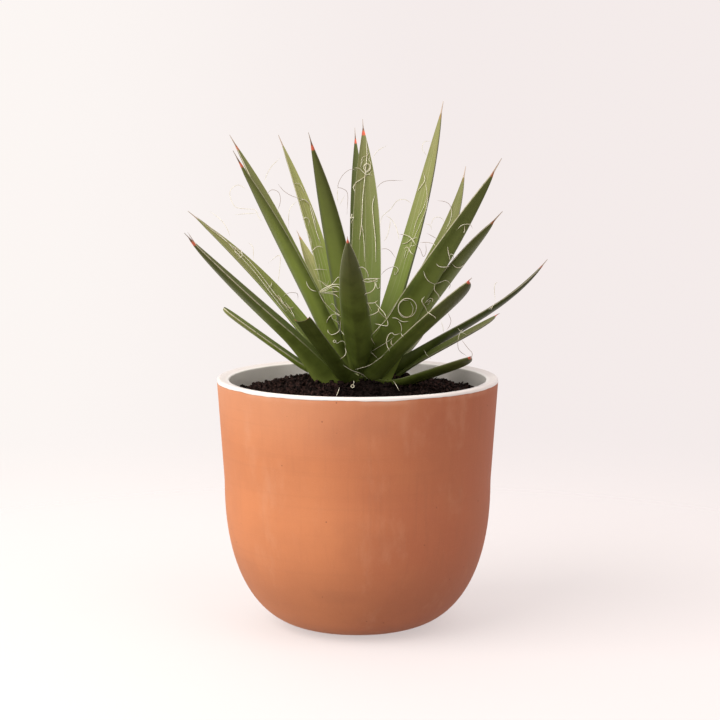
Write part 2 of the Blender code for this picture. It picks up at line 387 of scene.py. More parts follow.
def soil_skin():
    """The heap's top as a round grid, closed under by a cone inside the pot."""
    edge = wall_radius(POT_HEIGHT + SOIL_EDGE) - WALL + SOIL_INTO_WALL
    bottom = POT_HEIGHT - SOIL_DEPTH
    profile = [(0, bottom), (edge * 0.6, bottom)]
    for step in range(SOIL_RINGS):
        along = step / SOIL_RINGS
        heaped = math.sin(math.pi / 2 * min(1, along * HEAP_REACH)) ** HEAP_POWER
        rise = SOIL_EDGE + (SOIL_MIDDLE - SOIL_EDGE) * heaped
        profile.append((edge * (1 - along), POT_HEIGHT + rise))
    profile.append((0, POT_HEIGHT + SOIL_MIDDLE))
    return turned_mesh("soil_skin", profile, SOIL_SIDES)


def new_tree(name, **inputs):
    """A Geometry Nodes tree with named inputs, and a wire from each of them."""
    kinds = {float: "NodeSocketFloat", int: "NodeSocketInt"}
    tree = bpy.data.node_groups.new(name, "GeometryNodeTree")
    tree.interface.new_socket("Geometry", in_out="INPUT", socket_type="NodeSocketGeometry")
    for label, value in inputs.items():
        socket = tree.interface.new_socket(label, in_out="INPUT", socket_type=kinds[type(value)])
        socket.default_value = value
    tree.interface.new_socket("Finish", in_out="INPUT", socket_type="NodeSocketMaterial")
    tree.interface.new_socket("Geometry", in_out="OUTPUT", socket_type="NodeSocketGeometry")
    start = Wire(tree)
    given = start.node("NodeGroupInput").socket.node
    return tree, start, [Wire(tree, socket) for socket in given.outputs[: len(inputs) + 2]]


def end_tree(start, shape, finish):
    """Makes the copies in a tree real, and sets their finish."""
    solid = start.node("GeometryNodeRealizeInstances", {}, {0: shape})
    placed = start.node("GeometryNodeSetMaterial", {}, {"Geometry": solid, "Material": finish})
    start.node("NodeGroupOutput", {}, {0: placed})


def lumpy_tree():
    """Node tree: pushes a skin up and down by noise, for clods."""
    tree, start, (skin, lump, finish) = new_tree("lumps", Lump=LUMP)
    noise_sockets = {"Scale": LUMPS_PER_METRE, "Detail": 4.0, "Roughness": 0.66}
    noise = start.node("ShaderNodeTexNoise", {}, noise_sockets)
    height = axis(start.node("GeometryNodeInputPosition"), "Z")
    free = between(height, LUMPS_START, LUMPS_FULL)
    lift = start.node("ShaderNodeCombineXYZ", {}, {"Z": (noise - 0.5) * lump * LUMP_GAIN * free})
    pushed = start.node("GeometryNodeSetPosition", {}, {"Geometry": skin, "Offset": lift})
    end_tree(start, pushed, finish)
    return tree


def drawn(start, least, most, seed):
    """A random vector for each point."""
    sockets = {0: least, 1: most, "Seed": seed}
    return start.node("FunctionNodeRandomValue", {"data_type": "FLOAT_VECTOR"}, sockets)


def crumb_tree():
    """Node tree: scatters small uneven crumbs over a skin's upper side."""
    inputs = {"Crumb": CRUMB, "Density": CRUMBS_PER_M2, "Lift": 0.0}
    tree, start, (skin, crumb, density, lift, finish) = new_tree("crumbs", **inputs)
    height = axis(start.node("GeometryNodeInputPosition"), "Z")
    upper = start.node("FunctionNodeCompare", {"operation": "GREATER_THAN"}, {0: height, 1: LOWEST_CRUMB})
    scattered = {"Mesh": skin, "Selection": upper, "Density": density, "Seed": SCATTER_SEED}
    points = start.node("GeometryNodeDistributePointsOnFaces", {}, scattered)
    raised = start.node("ShaderNodeCombineXYZ", {}, {"Z": lift})
    points = start.node("GeometryNodeSetPosition", {}, {"Geometry": points, "Offset": raised})
    ball = start.node("GeometryNodeMeshIcoSphere", {}, {"Radius": 0.5, "Subdivisions": 1})
    wobble = start.node("ShaderNodeTexNoise", {}, {"Scale": 2.3, "Detail": 1.0}, "Color")
    centred = {0: wobble, 1: (0.5, 0.5, 0.5)}
    shift = start.node("ShaderNodeVectorMath", {"operation": "SUBTRACT"}, centred)
    uneven = start.node("GeometryNodeSetPosition", {}, {"Geometry": ball, "Offset": shift})
    size = drawn(start, CRUMB_LEAST, CRUMB_MOST, SIZE_SEED)
    size = start.node("ShaderNodeVectorMath", {"operation": "SCALE"}, {0: size, "Scale": crumb})
    turn = drawn(start, (0.0, 0.0, 0.0), (math.tau, math.tau, math.tau), TURN_SEED)
    copies = {"Points": points, "Instance": uneven, "Rotation": turn, "Scale": size}
    end_tree(start, start.node("GeometryNodeInstanceOnPoints", {}, copies), finish)
    return tree


def grown(name, tree, host, values):
    """Runs a node tree on a host object, and keeps what it makes as a plain mesh."""
    modifier = host.modifiers.new(name, "NODES")
    modifier.node_group = tree
    for item in tree.interface.items_tree:
        if item.in_out == "INPUT" and item.name in values:
            modifier[item.identifier] = values[item.name]
    seen = host.evaluated_get(bpy.context.evaluated_depsgraph_get())
    mesh = bpy.data.meshes.new_from_object(seen)
    mesh.name = name
    host.modifiers.remove(modifier)
    return mesh


peat = peat_finish()
skin = show("soil_heap", soil_skin(), peat)
skin.data = grown("soil_heap", lumpy_tree(), skin, {"Lump": LUMP, "Finish": peat})
scatter = crumb_tree()
crumbs = show("soil_crumbs", grown("soil_crumbs", scatter, skin, {"Crumb": CRUMB, "Finish": peat}))
clod_values = {"Crumb": CLOD, "Density": CLODS_PER_M2, "Lift": CLOD_LIFT, "Finish": peat}
clods = show("soil_clods", grown("soil_clods", scatter, skin, clod_values))
for piece in (skin, crumbs, clods):
    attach(piece, "root")
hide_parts("soil")

# The stem is a short crown of pale green, half woody tissue, and its root stub stands in the soil.
# Every leaf grows from it, and only slivers of it show. The model's own solid is kept for it.
PLANT_X = 0.0025
CROWN_WIDTH = 0.014
CROWN_TOP = 0.024
CROWN_MIDDLE = -0.008
CROWN_GREEN = (0.20, 0.26, 0.07, 1)
CROWN_STRAW = (0.42, 0.40, 0.20, 1)


def crown_finish():
    finish, start, shader = new_finish("pale_crown", {"Roughness": 0.6})
    place = start.node("ShaderNodeTexCoord", out="Object")
    streak = between(cloud(stretched(place, 900, 900, 90), 1, 3), 0.35, 0.7)
    feed(shader, Base_Color=mix(streak, CROWN_GREEN, CROWN_STRAW))
    return finish


stem = frame["nodes"]["stem"]
stem.data.materials[0] = crown_finish()

# The leaves are stiff and pointed. The upper face is flat, pale and finely streaked, the back is
# round, dark and satin, and a thin dry margin runs round both into a slender brown spine.
LEAF_STATIONS = 84
LEAF_RIM = 0.0007
ROOTED = -0.02
BELLY = 0.36
BASE_BELLY = 0.20
KEEL_DEPTH = 0.45
SPINE_RADIUS = 0.00075
SPINE_TIP = 0.00012
SPINE_FROM = 0.90
STATIONS_CROWD = 1.25
BASE_BELLY_LENGTH = 0.22
BACK_ROUNDNESS = 0.52
KEEL_ROUNDNESS = 0.75
KEEL_SHARE = 0.75
HOLLOW = 0.20
HOLLOW_GAIN = 0.08
CUP = 0.55
CUP_LENGTH = 0.05
SHARP_EDGE = math.radians(70)
CLASP_LENGTH = 0.05
ARCHED_BY = 0.35
CURLED_FROM = 0.6
FACE_POINTS = 13
BACK_POINTS = 17
# the margin's points: how far out they stand, and how far down from the face to the back
MARGIN_OUT = np.array((1.015, 1.01))
MARGIN_DOWN = np.array((0.3, 0.7))
CUT_AT = 0.575
CUT_SLANT = 0.0042
CUT_BOW = 0.0008
CUT_LIP = 0.0052
BACK_DARK = (0.061, 0.080, 0.013, 1)
BACK_GREEN = (0.093, 0.121, 0.021, 1)
BACK_GLOW = (0.168, 0.212, 0.042, 1)
BACK_OLIVE = (0.070, 0.070, 0.022, 1)
# painted shade: the green of a leaf's face where it stands in shade
FACE_PAINTED_SHADE = (0.050, 0.070, 0.014, 1)
FACE_GREEN = (0.142, 0.183, 0.036, 1)
FACE_PALE = (0.226, 0.222, 0.085, 1)
CREAM = (0.62, 0.56, 0.42, 1)
# faint dry lines up the face: how far across the blade, and how strong
DRY_LINES = ((-0.40, 0.10), (0.06, 0.22), (0.48, 0.16))
JOINT_RED = (0.62, 0.13, 0.075, 1)
SPINE_BROWN = (0.16, 0.10, 0.065, 1)
SPINE_GREY = (0.42, 0.34, 0.27, 1)
SPINE_PALE = (0.52, 0.40, 0.30, 1)
CUT_CREAM = (0.62, 0.50, 0.36, 1)


class End(NamedTuple):
    """How a leaf narrows to its end, and where its red joint starts, as shares of its length."""

    reach: float
    lateness: float
    softness: float
    joint_at: float


NO_JOINT = 1.2
ENDS = {
    "spine": End(0.975, 3.9, 1.15, 0.922),
    "slim": End(0.94, 3.0, 1.0, 0.912),
    "stout": End(0.94, 7, 0.9, 0.915),
    "point": End(0.985, 4.2, 1.05, 0.955),
    "blunt": End(0.968, 9, 0.6, 0.954),
    "round": End(1.0, 16, 0.5, NO_JOINT),
    "cut": End(1.0, 16, 0.5, NO_JOINT),
}


class Leaf(NamedTuple):
    """One leaf. Angles in degrees, lengths in metres, the seat measured up from the rim.

    The rest are shares: of the back's ridge, the drawn-in tip's lean, the depth and the foot's
    flare, and then how red and backlit the leaf is, how lit its face is (painted shade where low),
    how dry its margin is, and its brightness: painted light and shade, partly its own tone.
    """

    azimuth: float
    rise: float
    length: float
    width: float
    seat: float
    arch: float = 0.0
    sweep: float = 0.0
    twist: float = 0.0
    curl: float = 0.0
    end: str = "spine"
    keel: float = 0.0
    lean: float = 0.0
    thick: float = 1.0
    clasp: float = 0.22
    flush: float = 0.5
    glow: float = 0.5
    pale: float = 0.5
    hem: float = 0.4
    # overall brightness: painted light and shade where the leaf stands lit or shaded, partly its own tone
    bright: float = 1.0


# In the order of the model's nodes: from the oldest, lowest leaf to the youngest in the middle
LEAVES = (
    Leaf(
        186.3, 30.1, 0.0842, 0.0150, 0.0020, -0.0085, 0.0038, twist=-4, end="round", thick=0.7,
        flush=0, glow=1, pale=0, hem=0.7, bright=2.2,
    ),
    Leaf(
        148.5, 25.0, 0.0360, 0.0108, -0.0054, end="blunt",
        flush=0.2, glow=0.3,
    ),
    Leaf(119.0, 25.0, 0.0700, 0.0125, -0.0032),
    Leaf(56.0, 23.5, 0.0740, 0.0126, -0.0031),
    Leaf(87.0, 31.0, 0.0840, 0.0120, -0.0055),
    Leaf(
        211.1, 41.8, 0.1454, 0.0235, -0.0030, 0.0054, -0.0054, twist=-22, keel=0.1, thick=1.05,
        flush=0.9, glow=0.8, pale=0.3, hem=0.6, bright=1.1,
    ),
    Leaf(
        244.3, 37.1, 0.1404, 0.0123, -0.0030, 0.0005, -0.0022, end="cut", thick=0.8, clasp=0.6,
        flush=0.6, glow=0, hem=0.3, bright=0.8,
    ),
    Leaf(
        321.7, 16.1, 0.0780, 0.0150, -0.0020, -0.0045, 0.0011, twist=-8, end="blunt", lean=-0.7,
        thick=0.75,
        flush=0.8, glow=0.6, hem=0.1, bright=0.75,
    ),
    Leaf(
        5.1, 29.6, 0.0846, 0.0095, -0.0040, 0.0022, 0.0004, twist=9, end="blunt", keel=0.3, lean=0.6,
        thick=0.6,
        flush=0.9, glow=0.2, bright=0.85,
    ),
    Leaf(
        111.6, 38.0, 0.1336, 0.0140, 0.0010, 0.0053, -0.0005,
        flush=0.3, glow=0.4, pale=1, hem=0.7, bright=1.3,
    ),
    Leaf(
        156.3, 42.3, 0.1472, 0.0152, 0.0010, -0.0031, -0.0165, twist=-14, keel=0.3, thick=0.75,
        flush=0, glow=0.9, pale=0.8, hem=0.15, bright=1.45,
    ),
    Leaf(
        30.5, 25.1, 0.1442, 0.0160, 0.0020, 0.0036, -0.0111, twist=-23, curl=0.0044,
        glow=0.2, pale=0.3, hem=0.5, bright=0.6,
    ),
    Leaf(
        305.2, 33.2, 0.1240, 0.0140, 0.0025, 0.0005, -0.0030, end="blunt", keel=0.25, lean=-0.7,
        thick=0.75, clasp=0.2,
        flush=0.9, glow=0.7, hem=0.55, bright=0.85,
    ),
    Leaf(
        327.2, 51.3, 0.1345, 0.0170, 0.0035, 0.0045, 0.0020, curl=-0.0038, end="stout", keel=0.1,
        thick=0.95, clasp=-0.5,
        flush=0.4, glow=0.8, hem=0.8, bright=1.2,
    ),
    Leaf(
        50.4, 49.2, 0.1556, 0.0160, 0.0040, 0.0005, -0.0046, curl=0.0085,
        flush=0.1, glow=0.3, pale=0.6, hem=0.3, bright=1.1,
    ),
    Leaf(
        266.1, 36.3, 0.1402, 0.0175, 0.0130, 0.0003, -0.0004, end="point", keel=0.7, clasp=0,
        flush=1, glow=0.4, bright=1.1,
    ),
    Leaf(
        92.1, 53.0, 0.1837, 0.0130, 0.0050, 0.0037, -0.0008,
        flush=1, glow=0.3, pale=0.05, hem=0.2,
    ),
    Leaf(
        216.8, 58.5, 0.1596, 0.0155, 0.0060, 0.0002, 0.0039, twist=8, keel=0.2, thick=0.65,
        flush=0.8, glow=1, hem=0.3, bright=1.2,
    ),
    Leaf(
        144.6, 57.5, 0.1689, 0.0148, 0.0080, -0.0003, 0.0002, curl=-0.0038,
        flush=0.6, hem=0.7, bright=1.2,
    ),
    Leaf(
        317.4, 51.7, 0.1633, 0.0242, 0.0100, 0.0030, 0.0017, end="slim", keel=1, thick=0.95, clasp=-0.1,
        flush=0.4, glow=0.9, hem=0.6,
    ),
    Leaf(
        133.6, 62.9, 0.1533, 0.0135, 0.0120, -0.0103, -0.0074, thick=0.7,
        flush=0, glow=0.6, pale=0.9, hem=0.5, bright=1.7,
    ),
    Leaf(
        242.9, 66.6, 0.1534, 0.0160, 0.0120, -0.0024, 0.0037, keel=0.2,
        flush=0.9, glow=1, hem=0.3, bright=0.9,
    ),
    Leaf(
        89.5, 63.6, 0.1632, 0.0195, 0.0120, 0.0035, -0.0026,
        flush=1, glow=0.7, pale=0.6, hem=0.3, bright=1.05,
    ),
    Leaf(
        36.2, 70.8, 0.1686, 0.0150, 0.0110, 0.0010, -0.0056, twist=6,
        flush=0.2, glow=0.6, pale=0.9, hem=0.15, bright=1.15,
    ),
    Leaf(190.0, 78.0, 0.0850, 0.0110, 0.0140),
    Leaf(258.0, 81.0, 0.0460, 0.0100, 0.0148),
    Leaf(80.0, 80.0, 0.0320, 0.0090, 0.0152),
    Leaf(200.0, 86.0, 0.0550, 0.0070, 0.0158),
)


def leaf_finish():
    finish, start, shader = new_finish("agave_leaf", {"IOR": 1.45, "Specular IOR Level": 0.17})

    def absolute(value):
        return start.node("ShaderNodeMath", {"operation": "ABSOLUTE"}, {0: value})

    place, tone, light_and_margin, grain = (stored(start, name, "Vector") for name in ("place", "tone", "light_and_margin", "grain"))
    across, along, under = (axis(place, name) for name in "XYZ")
    flush, glow, joint_at = (axis(tone, name) for name in "XYZ")
    pale, hem, bright = (axis(light_and_margin, name) for name in "XYZ")
    centred = absolute(across)
    mottle = cloud(grain, 75, 3, 0.6)
    blotch = cloud(stretched(grain, 1, 0.35, 1), 190, 3, 0.6)
    streaks = cloud(stretched(grain, 1, 0.030, 1), 800, 3, 0.55)
    # back: dark satin green, brighter where light comes through it, browner up the blade
    back = mix(between(mottle, 0.35, 0.65), BACK_DARK, BACK_GREEN)
    shine_through = between(glow + (mottle - 0.5) * 0.5 - along * 0.3, 0.10, 0.85)
    back = mix(shine_through * between(centred, 1.0, 0.30), back, BACK_GLOW)
    back = mix(between(streaks, 0.50, 0.75) * 0.16, back, BACK_GLOW)
    back = mix(between(along + (mottle - 0.5) * 0.4, 0.35, 0.95) * 0.75, back, BACK_OLIVE)
    # upper face: fresh green below, paler and dustier above, streaked, with faint dry lines
    face = mix(between(along + (mottle - 0.5) * 0.3, 0.30, 0.85), FACE_GREEN, FACE_PALE)
    face = mix(between(blotch, 0.42, 0.68) * 0.30, face, FACE_GREEN)
    face = mix(between(streaks, 0.48, 0.68) * 0.30, face, FACE_PALE)
    for lane, share in DRY_LINES:
        wander = cloud(stretched(grain, 0, 1, 1), 30 + 9 * lane, 1)
        line = between(absolute(across - (wander - 0.5) * 0.3 - lane), 0.050, 0.010)
        face = mix(line * between(along, 0.16, 0.42) * share, face, CREAM)
    # painted shade: a face that stands in shade is painted a darker green, by the leaf's share
    face = mix((1 - pale) * 0.85, face, FACE_PAINTED_SHADE)
    leaf = mix(between(under, 0.45, 0.75), face, back)
    # painted light and shade: each leaf's colour is scaled up where it stands lit and down where shaded
    leaf = start.node("ShaderNodeVectorMath", {"operation": "SCALE"}, {0: leaf, "Scale": bright})
    # margin: a thin dry line that peels off in threads
    worn = between(cloud(stretched(grain, 0, 1, 1), 260, 2), 0.30, 0.48)
    margin = between(centred, 0.950, 0.982) * between(under, 0.98, 0.86) * between(along, 0.10, 0.50)
    leaf = mix(margin * hem * (0.45 + worn * 0.55), leaf, CREAM)
    # end: a red joint, then a dry spine, brown at its foot and grey towards its point
    dry = between(along, joint_at + 0.022, joint_at + 0.034)
    spine = mix(between(along, 0.95, 0.985), SPINE_BROWN, SPINE_GREY)
    spine = mix(between(flush, 0.75, 0.40), spine, SPINE_PALE)
    leaf = mix(dry, leaf, spine)
    joint = between(along, joint_at + 0.002, joint_at + 0.012)
    joint = joint * between(along, joint_at + 0.034, joint_at + 0.020)
    leaf = mix(joint * flush, leaf, JOINT_RED)
    cut_face = mix(between(centred, 0.45, 0.85), CUT_CREAM, JOINT_RED)
    leaf = mix(stored(start, "cut_end"), leaf, cut_face)
    relief = streaks * 0.00005 + mottle * 0.0004 * (1 - under)
    bump = start.node("ShaderNodeBump", {}, {"Strength": 0.8, "Distance": 1.0, "Height": relief})
    rough = 0.36 + (1 - under) * 0.18 + between(mottle, 0.4, 0.7) * 0.08
    feed(shader, Base_Color=leaf, Roughness=rough, Normal=bump)
    return finish


def leaf_taper(leaf, t):
    """How much of the full width is left, from seat to tip."""
    if leaf.end == "cut":
        return 1 - 0.06 * np.clip(t / CUT_AT, 0, 1) ** 3
    end = ENDS[leaf.end]
    return np.clip(1 - (np.abs(t) / end.reach) ** end.lateness, 0, 1) ** end.softness


def leaf_mesh(name, leaf, number):
    """Sections of the blade, set along its bent middle line and joined."""
    cut = CUT_AT if leaf.end == "cut" else 1.0
    t = ROOTED + (cut - ROOTED) * (1 - (1 - np.linspace(0, 1, LEAF_STATIONS)) ** STATIONS_CROWD)
    rise = math.radians(leaf.rise)
    outward = np.array((math.cos(rise), 0, math.sin(rise)))
    upward = np.array((-math.sin(rise), 0, math.cos(rise)))
    sideways = np.array((0.0, 1.0, 0.0))
    seat_radius = CROWN_WIDTH * math.sqrt(max(0, 1 - ((leaf.seat - CROWN_MIDDLE) / CROWN_TOP) ** 2))
    seat = np.array((seat_radius, 0, leaf.seat))

    def centre(t):
        bend = leaf.arch * (1 - np.clip(1 - t / ARCHED_BY, 0, None) ** 2 - t)
        bend = bend + leaf.curl * np.clip((t - CURLED_FROM) / (1 - CURLED_FROM), 0, None) ** 2
        side = 4 * t * (1 - t) * leaf.sweep
        straight = seat + np.outer(leaf.length * t, outward)
        return straight + np.outer(bend, upward) + np.outer(side, sideways)

    middle = centre(t)
    tangent = centre(t + 0.004) - centre(t - 0.004)
    tangent /= np.linalg.norm(tangent, axis=1)[:, None]
    side = sideways - tangent * (tangent @ sideways)[:, None]
    side /= np.linalg.norm(side, axis=1)[:, None]
    up = np.cross(tangent, side)
    twist = math.radians(leaf.twist)
    across_blade = side * math.cos(twist) + up * math.sin(twist)
    up = up * math.cos(twist) - side * math.sin(twist)
    side = across_blade

    taper = leaf_taper(leaf, t)
    clasp = 1 + leaf.clasp * np.exp(-((t / CLASP_LENGTH) ** 2))
    thinned = np.clip((t - SPINE_FROM) / (1 - SPINE_FROM), 0, 1) ** 0.8
    spine = SPINE_RADIUS + (SPINE_TIP - SPINE_RADIUS) * thinned
    half = np.maximum(leaf.width / 2 * clasp * taper, spine)
    thinning = 0.15 if leaf.end in ("blunt", "round") else 0.45
    belly = BELLY * (1 - thinning * t) + BASE_BELLY * np.exp(-((t / BASE_BELLY_LENGTH) ** 2))
    deep = leaf.width * belly * np.sqrt(taper)
    deep = deep * (1 + KEEL_DEPTH * leaf.keel) * leaf.thick
    middle = middle + side * (leaf.lean * leaf.width / 2 * (1 - taper))[:, None]
    deep = np.maximum(deep, spine * 2)

    # round the blade: upper face from right to left, left rim, back from left to right, right rim
    top = np.linspace(1, -1, FACE_POINTS)
    low = np.cos(np.linspace(math.pi, 0, BACK_POINTS))
    x = np.concatenate((top, -MARGIN_OUT, low, MARGIN_OUT[::-1]))
    under = np.concatenate((np.zeros(FACE_POINTS), MARGIN_DOWN, np.ones(BACK_POINTS), MARGIN_DOWN[::-1]))
    rounded = (1 - np.clip(np.abs(x), 0, 1) ** 2) ** BACK_ROUNDNESS
    keeled = (1 - np.clip(np.abs(x), 0, 1)) ** KEEL_ROUNDNESS
    body = rounded * (1 - KEEL_SHARE * leaf.keel) + keeled * KEEL_SHARE * leaf.keel
    rim = np.minimum(LEAF_RIM, 0.45 * deep)
    hollow = -(HOLLOW + HOLLOW_GAIN * t) * half
    cup = CUP * np.exp(-t / CUP_LENGTH) * half
    points = []
    for i in range(len(t)):
        z_top = hollow[i] * (1 - x**2)
        z_low = -rim[i] - (deep[i] - rim[i]) * body
        z = np.where(under < 0.2, z_top, np.where(under > 0.8, z_low, -rim[i] * under))
        z = z + cup[i] * np.clip(x**2, 0, 1)
        points.append(middle[i] + np.outer(x * half[i], side[i]) + np.outer(z, up[i]))
    points = np.concatenate(points)
    around = len(x)
    along = np.repeat(t, around)
    across = np.tile(x, len(t))
    if leaf.end == "cut":
        bite = CUT_BOW * (1 - across**2) + CUT_SLANT * (0.5 - 0.5 * across)
        bite = bite + CUT_LIP * (1 - np.tile(under, len(t)))
        points -= np.repeat(tangent, around, 0) * (bite * (along / cut) ** 6)[:, None]
    turn = math.radians(leaf.azimuth)
    facing = (math.cos(turn), math.sin(turn), 0)
    leftward = (-math.sin(turn), math.cos(turn), 0)
    spin = np.array((facing, leftward, (0, 0, 1)))
    points = points @ spin + np.array((PLANT_X, 0, POT_HEIGHT))

    last = (len(t) - 1) * around
    faces = [tuple(range(around - 1, -1, -1)), tuple(range(last, last + around))]
    for ring in range(0, last, around):
        for this in range(around):
            after = (this + 1) % around
            faces.append((ring + this, ring + after, ring + around + after, ring + around + this))
    mesh = bpy.data.meshes.new(name)
    mesh.from_pydata(points.tolist(), [], faces)
    mesh.shade_smooth()
    mesh.set_sharp_from_angle(angle=SHARP_EDGE)
    own_grain = np.full(len(points), number * 0.1)
    facts = {
        "place": np.stack((across, along, np.tile(under, len(t))), 1),
        "tone": np.tile((leaf.flush, leaf.glow, ENDS[leaf.end].joint_at), (len(points), 1)),
        "light_and_margin": np.tile((leaf.pale, leaf.hem, leaf.bright), (len(points), 1)),
        "grain": np.stack((across * np.repeat(half, around), along * leaf.length, own_grain), 1),
    }
    for key, values in facts.items():
        keep(mesh, key, values, "FLOAT_VECTOR")
    ended = np.zeros(len(points))
    if leaf.end == "cut":
        ended[-around:] = 1
    keep(mesh, "cut_end", ended)
    return mesh


leaf_skin = leaf_finish()
for number, leaf in enumerate(LEAVES, start=1):
    name = f"blade_{number:02d}"
    blade = show(name, leaf_mesh(name, leaf, number), leaf_skin)
    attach(blade, "root")
    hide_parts(f"leaf_{number:02d}")

# The camera: a long lens, a little above the rim. It stands before the threads, because each
# of them is laid where the photograph shows it.
CAMERA_DISTANCE = 1.3
CAMERA_PITCH = math.radians(7.57)
AIM_HEIGHT = 0.1669
LENS = 104
SENSOR = 36
CAMERA_ASIDE = 0.0015

lens = bpy.data.cameras.new("camera")
lens.lens = LENS
lens.sensor_width = SENSOR
camera = bpy.data.objects.new("camera", lens)
camera.location = (
    CAMERA_ASIDE,
    -CAMERA_DISTANCE * math.cos(CAMERA_PITCH),
    AIM_HEIGHT + CAMERA_DISTANCE * math.sin(CAMERA_PITCH),
)
camera.rotation_euler = (math.pi / 2 - CAMERA_PITCH, 0, 0)
bpy.context.scene.collection.objects.link(camera)
bpy.context.scene.camera = camera

# The threads are the leaves' own dry margins, peeled off in fine, stiff, cream curls. Each is
# laid on what lies behind it in the view, and stands a little off it, as the real ones do.
PICTURE = 720
THREAD = 0.00044
FACE_THREAD = 0.00042
FINE_THREAD = 0.00030
THREAD_CREAM = (0.78, 0.74, 0.58, 1)
THREAD_STRAW = (0.60, 0.52, 0.36, 1)
# painted shade: the thread's brown where it shows against the bright wall
THREAD_SHADE_BROWN = (0.27, 0.19, 0.16, 1)
THREAD_SIDES = 5
STEPS_PER_POINT = 7
OFF_LEAF = 0.0006
STEEPEST = 0.9
BEHIND_PLANT = CAMERA_DISTANCE * 1.3
SMOOTHINGS = 3
THREAD_END = 0.35
THREAD_END_STEPS = 4


def ring(x, y, wide, high, begin, turns):
    """A thread curled round a place in the photograph, from an angle, through some turns."""
    angles = np.linspace(begin, begin + math.tau * turns, max(5, round(9 * turns)))
    return tuple((x + wide * math.cos(a), y - high * math.sin(a)) for a in angles)


